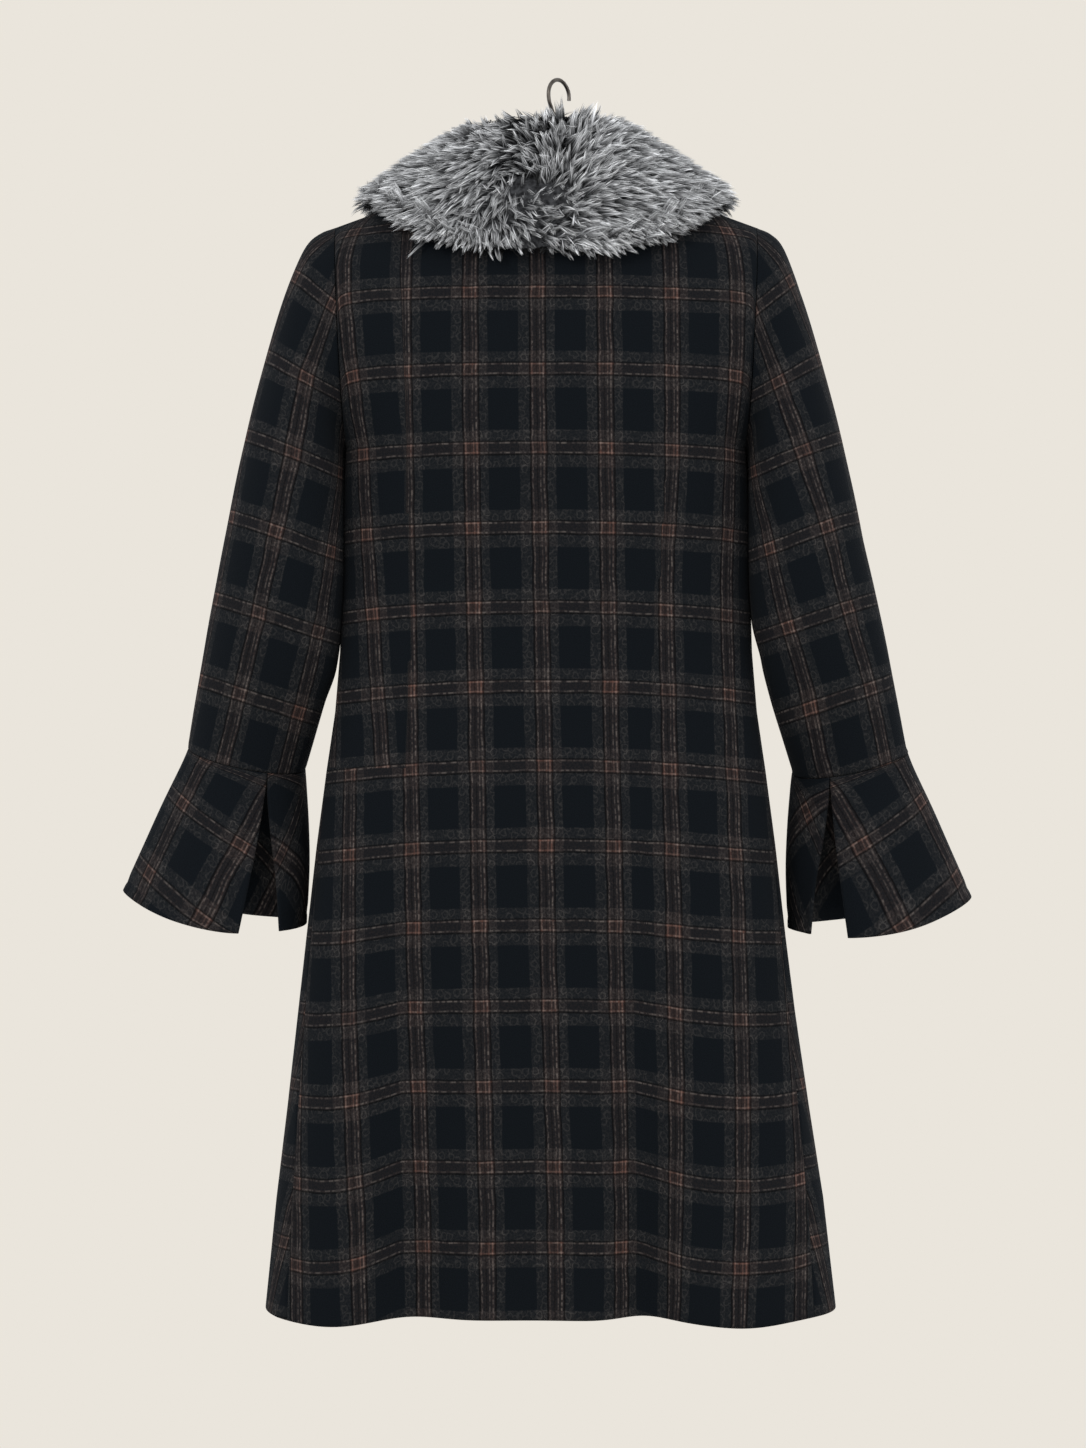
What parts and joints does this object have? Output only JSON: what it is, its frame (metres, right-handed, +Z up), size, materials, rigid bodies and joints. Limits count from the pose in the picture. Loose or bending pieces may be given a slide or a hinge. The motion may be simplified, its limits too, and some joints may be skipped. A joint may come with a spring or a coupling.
{
  "type": "long jacket on a hanger",
  "caption": "Knee-length checked wool coat with a wide fur collar and flared, slit cuffs, hung on a plain hanger with a wire hook.",
  "frame": {"origin": "the inside top of the hanger's hook, where it rests on a rail", "axes": "+Z up, +X towards the wearer's left, the front of the coat faces -Y"},
  "size_m": [0.7896, 0.2659, 1.1379],
  "materials": {
    "wool": "brushed wool in a dark check",
    "fur": "long grey pile",
    "horn": "dark polished buttons",
    "wood": "dark stained",
    "steel": "bright drawn wire, brownish"
  },
  "bodies": {
    "root": {"back": "wool", "front_left": "wool", "front_right": "wool", "sleeve_left": "wool", "sleeve_right": "wool", "cuff_left": "wool", "cuff_right": "wool", "collar": "fur", "button_1": "horn", "button_2": "horn", "button_3": "horn", "button_4": "horn", "hanger": "wood", "hook": "steel"}
  },
  "joints": []
}
